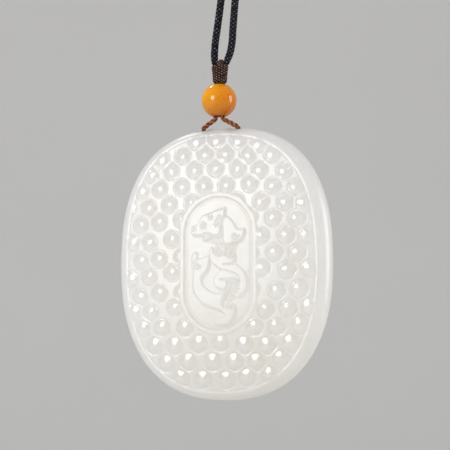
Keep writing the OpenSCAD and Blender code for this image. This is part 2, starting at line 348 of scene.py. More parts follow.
def braidStrands(braid, middle, side, depth, distance, halfWidth, halfDepth):
    # as many strands wind round the middle line one way as the other, once round in each pitch;
    # each one's distance from it is halfWidth and halfDepth times 1 + wave * over, with over =
    # cos(2 pi * strands * distance / pitch) one way and its opposite the other way, so that it
    # passes over and under those it meets
    strands, pitch = braid["strands"], braid["pitch"]
    paths, outs, lifts = [], [], []
    for way in (1, -1):
        turn = way * 2 * math.pi * distance / pitch + evenTurns(strands)[:, None]
        over = way * np.cos(2 * math.pi * distance * strands / pitch)
        lift = 1 + braid["wave"] * over
        paths.append(middle + (np.cos(turn) * halfWidth * lift)[..., None] * side
                     + (np.sin(turn) * halfDepth * lift)[..., None] * depth)
        outs.append(directions(turn, side, depth))
        lifts.append(np.broadcast_to(0.5 + 0.5 * over, turn.shape))
    return np.concatenate(paths), np.concatenate(outs), np.concatenate(lifts)


def braidAttributes(distance, lifts, width, extra):
    # for the thread streaks: millimetres along and across each strand, 7.3 mm apart so that no two
    # strands look alike, and how far it lies on top, most on its crest, which places the painted shade and
    # painted glints; the extra points of the core get none
    shape = lifts.shape + (3,)
    across = np.arange(len(lifts))[:, None, None] * 7.3 + np.broadcast_to(np.array([0, 1, 0.5]) * width, shape)
    crest = lifts[..., None] ** 3 * np.array([0.3, 0.3, 1])
    values = {"along": np.broadcast_to(distance[None, :, None], shape), "around": across, "lift": crest}
    return {key: np.concatenate([value.ravel(), np.zeros(extra)]) for key, value in values.items()}


def makeBraid(name, braid, frames, distance, halfWidth, halfDepth, core, material):
    # a braid round a core, as one piece; frames are its middle line, side and depth directions
    paths, outs, lifts = braidStrands(braid, *frames, distance, halfWidth, halfDepth)
    strands = strandTube(paths, outs, braid["width"], braid["thickness"])
    rings, sides = core.shape[:2]
    points, faces = joinParts([strands, (core.reshape(-1, 3), gridFaces(1, rings, sides))])
    attributes = braidAttributes(distance, lifts, braid["width"], rings * sides)
    return makePiece(name, points, faces, material, attributes)


cordRoute = [  # the neck cord's middle line, left end, over the hook, right end: across, up
    (-2.4, -311.9), (-2.45, -311.2), (-2.5, -310), (-2.4, -308), (-1.85, -304), (-1, -298), (-0.4, -292),
    (0, -282), (-0.4, -267), (-1.8, -242), (-3.8, -202), (-5.9, -152), (-8.1, -92), (-9.6, -50), (-10.5, -25),
    (-10.85, -10), (-10, -5.8), (-7.7, -2.3), (-4.2, 0), (0, 0.85), (4.2, 0), (7.7, -2.3), (10, -5.8),
    (10.85, -10), (10.5, -25), (9.6, -50), (8.1, -92), (6.5, -152), (5.4, -202), (4.9, -242), (4.6, -267),
    (4, -282), (3.1, -292), (2.4, -298), (1.9, -304), (1.55, -308), (1.15, -309.7), (0.6, -311), (0.3, -311.9)]

cordBraid = {"strands": 5, "pitch": 4.4, "radius": 0.62, "wave": 0.14, "width": 0.7, "thickness": 0.3,
             "core": 0.5, "coreSides": 6, "coreEvery": 6, "fineEnds": 40, "gripped": 0.2, "grippedMm": 1.1}

frontToBack = [0.0, 1.0, 0.0]
route = np.array([(x, 0, z) for x, z in cordRoute])
_, cordLength = smoothRoute(route, 1.0)
crossing = cordBraid["pitch"] / (2 * cordBraid["strands"])  # distance between two crossings
coarse = np.arange(0, cordLength, crossing)
fine = np.arange(0, cordBraid["fineEnds"], crossing / 2)
distance = np.unique(np.concatenate([coarse, fine, coarse[-1] - fine, [cordLength]]).round(5))
middle, _ = smoothRoute(route, distance / cordLength)
flow = unit(np.gradient(middle, distance, axis=0))
depth = np.broadcast_to(frontToBack, flow.shape)
side = unit(np.cross(depth, flow))
toEnd = np.minimum(distance, cordLength - distance)
gripped = cordBraid["gripped"] * np.exp(-(toEnd / cordBraid["grippedMm"]) ** 2)  # held tight in the wrap
radius = cordBraid["radius"] * (1 - gripped)
every, coreTurn = cordBraid["coreEvery"], evenTurns(cordBraid["coreSides"])
core = middle[::every, None] + cordBraid["core"] * directions(
    coreTurn, side[::every, None], depth[::every, None])
neckCord = makeBraid("neckCord", cordBraid, (middle, side, depth), distance, radius, radius, core, cordMaterial)
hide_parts("neck_cord")
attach(neckCord, "cord_and_bead")
print("neck cord", round(cordLength), "mm")

threadHalf = [  # half of the brown thread: across from the drop's middle, up from the plaque's top
    (0, -3.35), (0.9, -3.05), (1.8, -2.4), (2.7, -1.65), (3.4, -1.1), (3.95, -0.6), (4.1, -0.05), (3.75, 0.4),
    (3.1, 0.85), (2.2, 1.4), (1.3, 1.9), (0.8, 2.4), (0.68, 3.2), (0.68, 6.5), (0.68, 9.6)]
twist = {"plies": 3, "ply": 0.27, "apart": 0.29, "pitch": 3.6, "sides": 8, "step": 0.12,
         "topZ": -326.4, "dropX": -1, "lean": -0.4, "beadEntry": 2.4}

half = np.array(threadHalf)
wholeThread = np.concatenate([half[:0:-1] * [-1, 1], half])
lean = np.clip(wholeThread[:, 1] / twist["beadEntry"], 0, 1) * twist["lean"]
route = np.stack([wholeThread[:, 0] + lean + twist["dropX"], 0 * lean,
                  wholeThread[:, 1] + twist["topZ"]], 1)
middle, threadLength = smoothRoute(route, twist["step"])
distance = np.linspace(0, threadLength, len(middle))
flow = unit(np.gradient(middle, axis=0))
depth = np.broadcast_to(frontToBack, flow.shape)
side = unit(np.cross(depth, flow))
plies = twist["plies"]
plyTurn = 2 * math.pi * (distance / twist["pitch"] + np.arange(plies)[:, None] / plies)
plyOut = directions(plyTurn, side, depth)
edge = evenTurns(twist["sides"])
outward = directions(edge, side[:, None], depth[:, None])
points = (middle + twist["apart"] * plyOut)[:, :, None] + twist["ply"] * outward
shape = points.shape[:3]
along = np.broadcast_to(distance[None, :, None], shape)
around = np.arange(plies)[:, None, None] * 5 + np.broadcast_to(  # 5 mm apart, so that no two look alike
    np.cos(edge + 0.7) * twist["ply"], shape)
lift = 0.5 + 0.5 * (plyOut[:, :, None] * outward).sum(-1)  # painted shade: light on the plies' outer sides, dark in the grooves between plies
hangingThread = makePiece("hangingThread", points.reshape(-1, 3), gridFaces(*shape), threadMaterial,
                          {"along": along.ravel(), "around": around.ravel(), "lift": lift.ravel()})
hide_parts("hanging_thread")
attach(hangingThread, "cord_and_bead")

wrapBraid = {
    "x": -1.2, "foot": -316.3, "strands": 9, "pitch": 5.0, "wave": 0.08, "width": 0.56, "thickness": 0.28,
    "rings": 90, "core": 0.9, "coreSides": 24, "coreEvery": 3, "hump": 0.3, "humpStarts": 3.8, "humpLength": 0.8,
    "sections": [  # height above the foot, half width, half depth
        (0, 1.0, 0.8), (0.25, 1.3, 1.05), (0.6, 1.42, 1.15), (1.6, 1.45, 1.18), (2.9, 1.6, 1.24), (3.7, 1.7, 1.26),
        (4.0, 1.6, 1.15), (4.15, 1.25, 0.95), (4.35, 0.75, 0.8), (4.9, 0.6, 0.7), (5.25, 0.3, 0.4)]}

sections = np.array(wrapBraid["sections"])
distance = np.linspace(0, sections[-1, 0], wrapBraid["rings"])
halfWidth = np.interp(distance, sections[:, 0], sections[:, 1])
halfDepth = np.interp(distance, sections[:, 0], sections[:, 2])
leaning = wrapBraid["hump"] * np.clip((distance - wrapBraid["humpStarts"]) / wrapBraid["humpLength"], 0, 1)
middle = np.stack([leaning + wrapBraid["x"], 0 * distance, wrapBraid["foot"] + distance], 1)
side = np.broadcast_to([1.0, 0.0, 0.0], middle.shape)
depth = np.broadcast_to(frontToBack, middle.shape)
every, coreTurn = wrapBraid["coreEvery"], evenTurns(wrapBraid["coreSides"])
across, through = (half[::every, None, None] * axis[::every, None] for half, axis in (
    (halfWidth, side), (halfDepth, depth)))
core = middle[::every, None] + wrapBraid["core"] * directions(coreTurn, across, through)
wrap = makeBraid("brownWrap", wrapBraid, (middle, side, depth), distance, halfWidth, halfDepth, core,
                 wrapMaterial)
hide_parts("knot")
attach(wrap, "cord_and_bead")


# amber bead: a half circle and the wall of its hole, turned round the hole's axis
bead = {"x": -1.4, "z": -320.1, "radius": 3.9, "hole": 1.45, "lip": 0.25, "flare": 0.06, "wallEnds": 0.4,
        "around": 128, "arc": 72, "lipRings": 4, "wallRings": 9}

lowest = math.asin((bead["hole"] + bead["lip"]) / bead["radius"])
arc = np.linspace(lowest, math.pi - lowest, bead["arc"])
outer = np.stack([bead["radius"] * np.sin(arc), bead["radius"] * np.cos(arc)], 1)
lipTurn = np.linspace(0, math.pi / 2, bead["lipRings"] + 1)[1:]
rimZ = outer[0, 1]
upperLip = np.stack([bead["hole"] + bead["lip"] * (1 - np.sin(lipTurn)),
                     rimZ - bead["lip"] * (1 - np.cos(lipTurn)) + bead["flare"] * np.cos(lipTurn)], 1)
wallZ = rimZ - bead["wallEnds"]
wall = np.stack([np.full(bead["wallRings"], bead["hole"]), np.linspace(-wallZ, wallZ, bead["wallRings"])], 1)
profile = np.concatenate([outer, upperLip * [1, -1], wall, upperLip[::-1]])
amberBead = makePiece("amberBead", turnedProfile(profile, bead["around"], [bead["x"], 0, bead["z"]]),
                      gridFaces(1, len(profile), bead["around"], True), amberMaterial)
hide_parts("bead")
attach(amberBead, "cord_and_bead")


# jade plaque: its sizes, the places of its bosses, the cartouche and the dragon's outlines
slab = {
    "width": 49.2, "height": 60, "edge": 7, "crown": 1.35, "crownPower": 2.2, "headPower": 2.5, "footPower": 2.35,
    "rimSide": 2.4, "rimEnd": 1.5, "rimCorner": 0.35, "rimGroove": 0.1, "rimGrooveAt": 0.35, "rimGrooveWidth": 0.18,
    "y": 0.15, "z": -356.4, "edgeGloss": 0.2, "groundGloss": 0.22, "grid": 284, "edgeRings": 16, "backRings": 9}
boss = {
    "ball": 3.2, "flank": 0.5, "top": 0.3, "lip": 2.15, "ridge": 0.14, "wall": 0.22, "soft": 0.05, "rimFade": 0.6,
    "glossEdge": 0.3, "worn": 0.3, "wornByRim": (0.8, 4.5), "wornToFoot": (9, 20),
    "places": [  # rows from the top: across, up from the plaque's middle
        (-5.7, 27.1), (-0.9, 27.2), (4.2, 26.9), (8.9, 25.9),
        (-13.9, 23.4), (-8.8, 23.9), (-3.4, 24.1), (1.4, 24), (6.6, 23.5), (12.1, 23.5),
        (-16.3, 20), (-11.4, 20.5), (-5.7, 20.5), (-0.8, 20.8), (4.4, 20.6), (9.4, 20), (15, 19.6),
        (-18.8, 16.4), (-14.1, 16.7), (-8.7, 16.8), (-3.4, 16.9),
        (1.8, 16.9), (7.3, 17.1), (12.6, 16.4), (17.7, 16),
        (-22, 12.6), (-16.8, 12.5), (-11.6, 13), (-6.2, 13.2), (4.3, 13.2), (9.9, 13), (15.3, 12.8), (19.5, 12.5),
        (-18.8, 8.8), (-14, 9.2), (-8.6, 9.6), (7.3, 9.7), (12.7, 9.4), (17.9, 9.2),
        (-21, 4.9), (-16.5, 4.7), (-10.9, 5.3), (9.9, 5.5), (15.5, 5.6), (20.1, 5.6),
        (-18.7, 0.7), (-14, 1), (-8.4, 1.4), (7.5, 1.7), (12.9, 1.9), (18, 1.8),
        (-21.3, -3.3), (-16.5, -2.8), (-10.9, -2.1), (10, -1.5), (15.7, -1.9), (20.8, -1.6),
        (-18.9, -7.3), (-13.9, -6.5), (-8.3, -6.5), (7.8, -6.2), (13.4, -6.4), (18.4, -6),
        (-20.6, -10.6), (-16.2, -10.7), (-10.2, -9.8), (10.9, -10.4), (16, -10.1), (20.8, -9.9),
        (-18.4, -14.3), (-13.5, -14.1), (-7.9, -14.2), (8.3, -14.1), (13.2, -14.1), (18.7, -13.8),
        (-15.4, -18.1), (-10.5, -18.2), (-4.7, -17.8), (0.4, -17.5), (5.9, -18.1), (11.2, -18.2), (16.5, -17.7),
        (-12.6, -22), (-7.4, -21.7), (-1.5, -21.7), (3.5, -21.7), (8.6, -21.8), (14.1, -21.1),
        (-9.2, -25.3), (-4, -25.6), (1.5, -25.7), (6.3, -25.1), (11.5, -24.7)]}
cartouche = {"width": 18, "height": 31.4, "band": 1, "wall": 0.16, "rise": 0.14, "drop": 0.3, "z": -0.2,
             "footGroove": 0.06, "shoulder": 1.5}  # the shoulder is in walls
dragon = {
    "edge": 0.24, "shade": 0.8, "groove": 0.17, "grooveDepth": 0.18, "ridge": 0.2, "ridgeWidth": 0.24,
    "mouthDepth": 0.3, "bump": 0.12, "bumpShare": 0.28, "curlStart": 0.3, "curlGrowth": 0.55,
    "sink": 0.26, "squeeze": 0.98, "strength": 1.35, "edgeWay": (0.6, -0.8), "hollowWay": (0.75, -0.65),
    # forms: rise, outline (across, up from the cartouche's middle)
    "forms": [
        # head, with its snout to the left
        (0.34, [(-5.9, 8.5), (-5.35, 8.55), (-4.9, 8.85), (-4.5, 9.55), (-4, 10.4), (-3.4, 10.9), (-2.6, 11.2),
            (-1.65, 11.4), (-0.95, 11.8), (-0.25, 12.1), (0.55, 12.2), (1.15, 12.45), (1.5, 12.75), (1.6, 12),
            (1.5, 11.15), (1.5, 10.7), (1, 10.05), (0.65, 9.4), (0.65, 8.4), (0.65, 7.55), (0.4, 6.8), (-0.1, 6.3),
            (-0.95, 6.45), (-1.55, 6.25), (-2.35, 5.75), (-3.1, 5.4), (-3.55, 5.85), (-3.8, 6.45), (-4.55, 6.5),
            (-5.6, 6.6), (-6.05, 6.95), (-6.25, 7.45), (-6.2, 8.1)]),
        # mane
        (0.3, [(1.85, 10.6), (2.3, 10.5), (3.05, 9.8), (3.7, 8.95), (4.05, 8.3), (4.4, 7.8), (5.1, 7.65),
            (5.55, 7.7), (6, 7.9), (6.1, 7.1), (5.9, 6.25), (5.5, 5.45), (4.85, 5), (4.05, 4.9), (3.45, 4.8),
            (3.25, 4.45), (1.65, 4.5), (1.35, 5.35), (1.3, 6.55), (1.25, 8.2), (1.1, 9.3), (1.25, 10.05)]),
        # neck, and the body's loop to the right
        (0.3, [(-1.9, 2), (-1.85, 3.1), (-1.5, 3.9), (-1.15, 3.5), (-1, 2.7), (-0.4, 1.95), (0.65, 1.7), (1.7, 2),
            (2.3, 1.3), (3.1, 1.15), (3.95, 1.75), (3.9, 1), (3.7, 0.2), (4.1, 0.05), (5, -0.65), (5.8, -1.4),
            (6.35, -2.3), (6.7, -3.4), (6.8, -4.5), (6.6, -5.55), (6, -6.5), (5, -7.15), (3.95, -7.15),
            (3.3, -6.55), (3.25, -5.8), (3.8, -5.25), (4.65, -5.2), (5.1, -4.8), (5.2, -4.05), (5, -3.05),
            (4.4, -2.35), (3.45, -1.85), (2.05, -1.5), (0.9, -1.1), (0, -0.65), (-0.95, 0.1), (-1.55, 1)]),
        # shoulder, back and tail
        (0.3, [(-5.55, 0.7), (-4.9, 1.1), (-4.1, 1.3), (-3.05, 1.6), (-1.9, 2), (-1.85, 1.2), (-2, 0.2),
            (-2.35, -1.2), (-3.15, -2.1), (-3.7, -2.85), (-3.8, -3.7), (-3.4, -4.8), (-2.6, -5.5), (-1.65, -6.1),
            (-0.5, -6.55), (0.65, -6.6), (1.5, -6.15), (1.85, -5.85), (1.6, -6.65), (1.3, -7.45), (1.05, -8.2),
            (0.95, -8.85), (1.2, -9.5), (1.6, -9.6), (2.05, -8.9), (2.95, -8.6), (3.65, -9), (3.95, -9.75),
            (3.95, -10.6), (3.7, -11.5), (3.05, -12.55), (2.2, -13.3), (0.9, -13.7), (0, -13.55), (-0.65, -13.15),
            (-0.95, -12.55), (-0.9, -12), (-0.35, -11.7), (0.65, -11.9), (1.35, -11.6), (1.55, -11.15),
            (0.9, -10.5), (-0.25, -9.95), (-1.9, -9.4), (-3.15, -8.95), (-4, -8.3), (-5, -7), (-5.7, -5.85),
            (-5.8, -3.4), (-5.75, -1.2), (-6.15, -0.55), (-6.2, 0)]),
        # inner curl
        (0.18, [(-0.35, -2.35), (-0.85, -3.15), (-0.9, -4.05), (-0.45, -4.85), (0.35, -5.4), (1.25, -5.55),
            (1.85, -5.25), (2.15, -4.6), (2, -3.85), (2.3, -3.35), (3.25, -3.2), (4.15, -3.3), (5.1, -3.45),
            (5, -3.1), (4.35, -2.5), (3.45, -2.05), (2.05, -1.7), (0.9, -1.35), (0.2, -1.75)]),
        # leaf at the shoulder, and two scrolls under the chin
        (0.2, [(-6, 0.6), (-6.1, 1.65), (-5.8, 2.55), (-4.85, 2.75), (-5, 2), (-4.7, 1.3), (-5.35, 0.8)]),
        (0.26, [(-0.95, 3.15), (0.3, 4.4), (1.55, 3.15), (0.3, 1.9)]),
        (0.3, [(2.05, 2.1), (2.9, 3), (3.8, 2.1), (2.9, 1.2)])],
    # hollows: depth at the lower right, outline
    "hollows": [
        (0.4, [(2.4, -3), (3.8, -3.3), (5, -3.7), (5.1, -4.6), (4.6, -5.1), (3.7, -5.2), (3.15, -5.8), (3.2, -6.6),
            (3.9, -7.2), (3.6, -7.9), (2.4, -8.2), (1.4, -7.9), (1.9, -6.6), (2.4, -5.5), (2.5, -4.1)]),
        (0.25, [(-3.1, 5.2), (-1.4, 6.1), (0.3, 6.2), (1.05, 6.6), (1.3, 4.9), (0.3, 4.6), (-1.4, 4.7)]),
        (0.3, [(1.7, 4.4), (3.2, 4.5), (4.6, 4.8), (4.4, 3.5), (4, 2.7), (3, 3.1), (1.8, 3.7)]),
        (0.34, [(-1, 3.1), (-0.5, 3.9), (0.4, 4), (0.9, 3.3), (0.5, 2.5), (-0.4, 2.3)]),
        (0.22, [(2.4, 2.2), (2.8, 2.6), (3.3, 2.3), (3.2, 1.8), (2.7, 1.7)])],
    "ridges": [
        [(-0.2, 4.35), (0.33, 4.45), (1.2, 4.2), (1.7, 3.4), (1.55, 2.45), (0.9, 2.05), (0.5, 2.4), (0.7, 2.85)],
        [(2.1, 2.4), (2.8, 2.8), (3.5, 2.45), (3.6, 1.8), (3, 1.5), (2.65, 1.85), (2.9, 2.1)]],
    "mouth": [
        (-3.45, 6.95), (-2.8, 7.1), (-2, 7.05), (-1.55, 6.8), (-1.9, 6.4), (-2.6, 6.1), (-3.1, 5.9), (-3.45, 6.25)],
    "lines": [
        [(1.25, -0.05), (2.05, 0), (3.25, 0), (3.75, 0.15)],
        [(0.5, -3.5), (1.6, -3.4), (2.15, -3.95), (2.25, -4.7), (1.95, -5.55), (1.5, -6.15)]],
    # curls: across, up, radius, where the spiral starts in degrees, and which way it winds
    "curls": [
        (-5.6, 8, 0.65, 100, 1), (-3.35, 8.7, 1.1, 0, 0), (-1.65, 10.6, 0.7, 0, 0), (0.15, 10.4, 0.65, 90, 1),
        (-0.15, 8.95, 0.75, 90, -1), (4, 6.15, 1, 20, 1), (-4.9, -0.2, 1.1, 0, 1), (4.2, -6.1, 0.95, 20, -1),
        (2.7, -9.4, 0.85, 180, -1)]}


def outlinePoint(turn):
    # the oval: |x / a| ** n + |z / b| ** n = 1, with its outward direction from the gradient;
    # n is larger above the middle than below
    a, b = slab["width"] / 2, slab["height"] / 2
    n = np.where(np.sin(turn) < 0, slab["footPower"], slab["headPower"])
    heading = np.arctan2(b * np.sin(turn), a * np.cos(turn))
    c, s = np.cos(heading), np.sin(heading)
    reach = (abs(c / a) ** n + abs(s / b) ** n) ** (-1 / n)
    x, z = reach * c, reach * s
    out = np.stack([np.sign(x) * abs(x / a) ** (n - 1) / a, np.sign(z) * abs(z / b) ** (n - 1) / b], -1)
    return np.stack([x, z], -1), unit(out)


def rimInset(turn):
    # how far the rim line lies inside the oval: side * cos(turn)^2 + end * sin(turn)^2, and a little
    # more at the upper right, where the rim was ground down
    corner = slab["rimCorner"] * np.clip(np.sin(2 * turn), 0, 1) * (turn < math.pi / 2)
    return slab["rimSide"] * np.cos(turn) ** 2 + slab["rimEnd"] * np.sin(turn) ** 2 + corner


def stadiumDistance(x, z):
    # distance inside the cartouche's outline: half width - |(x, z beyond the straight part)|
    straight = (cartouche["height"] - cartouche["width"]) / 2
    beyond = np.maximum(abs(z - cartouche["z"]) - straight, 0)
    return cartouche["width"] / 2 - np.hypot(x, beyond)


def ease(value, start, end):
    # a smooth step: 0 up to start, then 3u^2 - 2u^3, and 1 from the end on
    u = np.clip((value - start) / (end - start), 0, 1)
    return u * u * (3 - 2 * u)


def bossInside(x, z):
    # every point belongs to its nearest boss, whose cell is a disc cut by the lines halfway to its
    # neighbours; gives the distance inside that cell's lip, as a soft minimum of the distances to
    # the disc and to the lines, and the squared distance from the boss
    places = np.array(boss["places"])
    square = (x[:, None] - places[:, 0]) ** 2 + (z[:, None] - places[:, 1]) ** 2
    rows = np.arange(len(x))
    own = square.argmin(1)
    d2 = square[rows, own]
    between = np.hypot(*(places[:, None] - places[None]).transpose(2, 0, 1))
    np.fill_diagonal(between, 1e9)  # no boss is its own neighbour
    square[rows, own] = 1e9
    toLine = ((square - d2[:, None]) / (2 * between[own])).min(1)
    toLip, toRidge = boss["lip"] - np.sqrt(d2), toLine - boss["ridge"]
    soft = boss["soft"]
    return -soft * np.logaddexp(-toLip / soft, -toRidge / soft), d2


def bossField(x, z):
    # flat ground up to the lip, a steep wall down to the foot, and from the foot a nub that is round
    # like a ball on top and straight on its flanks: top - ball * flank^2 * ln(cosh(d / (ball * flank)))
    inside, d2 = bossInside(x, z)
    bend, farSquare = boss["ball"] * boss["flank"], 9  # there is no boss past 3 mm, where cosh grows too large
    dome = boss["top"] - bend * boss["flank"] * np.log(np.cosh(np.sqrt(np.minimum(d2, farSquare)) / bend))
    return dome * np.clip(inside / boss["wall"], 0, 1)


def slideTo(x, z, measure, targets, reach):
    # points whose measure is near one of the targets slide straight onto it, so that edges run
    # along the mesh and not across its cells: point + (target - measure) * slope / slope^2, where
    # slope^2 is at least 0.6, so that no point slides too far in a corner
    value, e, leastSquare = measure(x, z), 0.01, 0.6
    slopeX, slopeZ = (measure(x + e, z) - value) / e, (measure(x, z + e) - value) / e
    miss = np.array(targets)[:, None] - value
    nearest = abs(miss).argmin(0)
    miss = miss[nearest, np.arange(len(x))]
    move = np.where(abs(miss) < reach, miss, 0) / np.maximum(slopeX ** 2 + slopeZ ** 2, leastSquare)
    return x + move * slopeX, z + move * slopeZ, np.where(abs(miss) < reach, nearest, -1)


def smoothLoop(points, closed=True):
    # a curve through the points, three extra ones between each two: with o before p, and q and r
    # after it, 0.5 * (2p + (q - o) t + (2o - 5p + 4q - r) t^2 + (3p - o - 3q + r) t^3)
    p = np.asarray(points, float)
    if not closed:
        p = np.concatenate([[2 * p[0] - p[1]], p, [2 * p[-1] - p[-2]]])
    before, after, last = (np.roll(p, k, 0) for k in (1, -1, -2))
    t = np.linspace(0, 1, 5)[:-1, None, None]
    curve = 0.5 * (2 * p + (after - before) * t + (2 * before - 5 * p + 4 * after - last) * t ** 2
                   + (3 * p - before - 3 * after + last) * t ** 3)
    curve = curve.transpose(1, 0, 2)
    return curve.reshape(-1, 2) if closed else curve[1:-2].reshape(-1, 2)


def lineDistance(x, z, loop, closed=True):
    # distance to the nearest stretch of a line, |point - a - t (b - a)| with t cut to 0..1, and the
    # direction away from it; a closed line's inside, found by counting crossings, is positive
    a = loop if closed else loop[:-1]
    b = np.roll(loop, -1, 0) if closed else loop[1:]
    run = b - a
    px, pz = x[:, None] - a[:, 0], z[:, None] - a[:, 1]
    t = np.clip((px * run[:, 0] + pz * run[:, 1]) / (run ** 2).sum(1), 0, 1)
    dx, dz = px - t * run[:, 0], pz - t * run[:, 1]
    square = dx ** 2 + dz ** 2
    near = square.argmin(1)
    rows = np.arange(len(x))
    far = np.sqrt(square[rows, near]) + 1e-9
    away = np.stack([dx[rows, near], dz[rows, near]], 1) / far[:, None]
    if not closed:
        return far, away
    crosses = (a[:, 1] > z[:, None]) != (b[:, 1] > z[:, None])
    crossAt = a[:, 0] + (z[:, None] - a[:, 1]) * run[:, 0] / np.where(run[:, 1] == 0, 1e-9, run[:, 1])
    inside = (crosses & (x[:, None] < crossAt)).sum(1) % 2 == 1
    return np.where(inside, far, -far), np.where(inside, -1, 1)[:, None] * away


def dragonRelief(x, z):
    # the highest of the forms, each a flat rise whose edge is steep at the upper left and long and
    # soft at the lower right; hollows that slope down to the lower right; then grooves and ridges,
    # exp(-(distance / width)^2), along lines and spirals of radius * (0.3 + 0.55 * share of a turn),
    # and a bump of the same kind in each curl
    z = (z + dragon["sink"]) / dragon["squeeze"]
    height = np.zeros_like(x)
    for rise, outline in dragon["forms"]:
        gap, away = lineDistance(x, z, smoothLoop(outline))
        slope = dragon["edge"] + dragon["shade"] * np.clip(away @ dragon["edgeWay"], 0, 1)
        height = np.maximum(height, rise * ease(gap, -0.55 * slope, 0.45 * slope))  # just over half lies outside
    for drop, outline in dragon["hollows"]:
        loop = smoothLoop(outline)
        gap, _ = lineDistance(x, z, loop)
        across, (wayX, wayZ) = loop @ dragon["hollowWay"], dragon["hollowWay"]
        deeper = (wayX * x + wayZ * z - across.min()) / (across.max() - across.min())
        height = height - drop * np.clip(deeper, 0, 1) * ease(gap, -0.05, 0.3)
    gap, _ = lineDistance(x, z, smoothLoop(dragon["mouth"]))
    height = height - dragon["mouthDepth"] * ease(gap, -0.15, 0.25)
    ridges = [(line, dragon["ridge"], dragon["ridgeWidth"]) for line in dragon["ridges"]]
    cuts = [(line, -dragon["grooveDepth"], dragon["groove"]) for line in dragon["lines"]]
    for line, rise, width in ridges + cuts:
        gap, _ = lineDistance(x, z, smoothLoop(line, False), False)
        height = height + rise * np.exp(-(gap / width) ** 2)
    for cx, cz, radius, start, way in dragon["curls"]:
        r, heading = np.hypot(x - cx, z - cz), np.degrees(np.arctan2(z - cz, x - cx))
        turned = ((heading - start) * (way or 1) / 360) % 1 if way else 0.5
        spiral = radius * (dragon["curlStart"] + dragon["curlGrowth"] * turned)
        groove = np.exp(-((r - spiral) / dragon["groove"]) ** 2)
        bump = dragon["bump"] * np.exp(-(r / (dragon["bumpShare"] * radius)) ** 2)
        height = height + (bump - dragon["grooveDepth"] * groove) * (r < 1.5 * radius)
    return dragon["strength"] * height


def frontRelief(x, z, rimGap):
    # height over the crowned front: bosses, ground shallower beside the rim and towards the foot,
    # a shallow groove inside the rim, the ring's flat band between two walls, a groove at its
    # inner foot, and the dragon on the sunk panel
    worn = np.maximum(1 - ease(rimGap, *boss["wornByRim"]), ease(-z, *boss["wornToFoot"]))
    height = bossField(x, z) * (1 - boss["worn"] * worn) * ease(rimGap, 0, boss["rimFade"])
    height = height - slab["rimGroove"] * np.exp(-((rimGap - slab["rimGrooveAt"]) / slab["rimGrooveWidth"]) ** 2)
    q = stadiumDistance(x, z)
    band, wall, rise, drop, groove, shoulder = (
        cartouche[key] for key in ("band", "wall", "rise", "drop", "footGroove", "shoulder"))
    height = height + (rise - height) * np.clip(q / wall, 0, 1)
    height = height - (rise + drop + groove) * np.clip((q - band) / (shoulder * wall), 0, 1)
    height = height + groove * ease(q, band + 0.4, band + 1)
    panel = q > band
    height[panel] += dragonRelief(x[panel], z[panel] - cartouche["z"]) * ease(q[panel], band + 0.2, band + 0.4)
    return height


# a square grid is drawn out to the oval: reach, the larger of |s| and |t|, is 1 at its sides,
# which become the rim line, and turn goes round it evenly
count = slab["grid"]
line = np.linspace(-1, 1, count + 1)
s, t = np.meshgrid(line, line, indexing="ij")
reach = np.maximum(abs(s), abs(t))
wide = abs(s) >= abs(t)
ratio = np.where(wide, t / np.where(s == 0, 1, s), s / np.where(t == 0, 1, t))
turn = np.where(wide, np.where(s < 0, math.pi, 0) + math.pi / 4 * ratio,
                np.where(t < 0, 1.5, 0.5) * math.pi - math.pi / 4 * ratio)
share = 0.7 * reach + 0.6 * reach ** 3 - 0.3 * reach ** 5  # cells are finer in the middle, for the carving
ovalPlace, ovalOut = outlinePoint(turn)
rim = ovalPlace - rimInset(turn)[..., None] * ovalOut
x, z = (share[..., None] * rim).reshape(-1, 2).T
edgeRadius = slab["edge"] / 2  # the edge is a half round; the crown rises from the rim line on it
rimHeight = np.sqrt(edgeRadius ** 2 - (edgeRadius - rimInset(turn)) ** 2)
crownTop = edgeRadius + slab["crown"]
crownHeight = crownTop - (crownTop - rimHeight) * share ** slab["crownPower"]
rimGap = ((1 - share) * np.hypot(rim[..., 0], rim[..., 1])).ravel()
gridX, gridZ = x.reshape(s.shape), z.reshape(s.shape)
halfCell = 0.5 * np.sqrt(abs(np.gradient(gridX, axis=0) * np.gradient(gridZ, axis=1)
                             - np.gradient(gridX, axis=1) * np.gradient(gridZ, axis=0))).ravel()

# points slide onto the edges of the ring and of the bosses, but not close beside the rim
slide = {"ringFrom": -0.12, "rimKeeps": 0.4, "passes": 4, "folded": 0.1}
slidX, slidZ, bossEdge = slideTo(x, z, lambda x, z: bossInside(x, z)[0], (0, boss["wall"]), halfCell)
wall, band = cartouche["wall"], cartouche["band"]
ringEdges = (0, wall, band, band + cartouche["shoulder"] * wall)
ringX, ringZ, _ = slideTo(x, z, stadiumDistance, ringEdges, halfCell)
atRing = stadiumDistance(x, z) > slide["ringFrom"]
free = atRing | (rimGap > slide["rimKeeps"])
slidX, slidZ = np.where(atRing, ringX, slidX), np.where(atRing, ringZ, slidZ)
for _ in range(slide["passes"]):  # where a cell has folded over, its points go back
    slidX, slidZ = np.where(free, slidX, x), np.where(free, slidZ, z)
    gridX, gridZ = slidX.reshape(s.shape), slidZ.reshape(s.shape)
    runX, runZ = np.diff(gridX, axis=0), np.diff(gridZ, axis=0)
    riseX, riseZ = np.diff(gridX, axis=1), np.diff(gridZ, axis=1)
    turns = np.stack([runX[:, i:i + count] * riseZ[j:j + count] - runZ[:, i:i + count] * riseX[j:j + count]
                      for i in (0, 1) for j in (0, 1)])
    bad = (turns * np.sign(np.median(turns)) < slide["folded"] * np.median(abs(turns))).any(0)
    stuck = np.zeros(s.shape, bool)
    for i in (0, 1):
        for j in (0, 1):
            stuck[i:i + count, j:j + count] |= bad
    free = free & ~stuck.ravel()
slidX, slidZ = np.where(free, slidX, x), np.where(free, slidZ, z)
foot = (bossEdge == 1) & free & ~atRing
x, z = slidX, slidZ
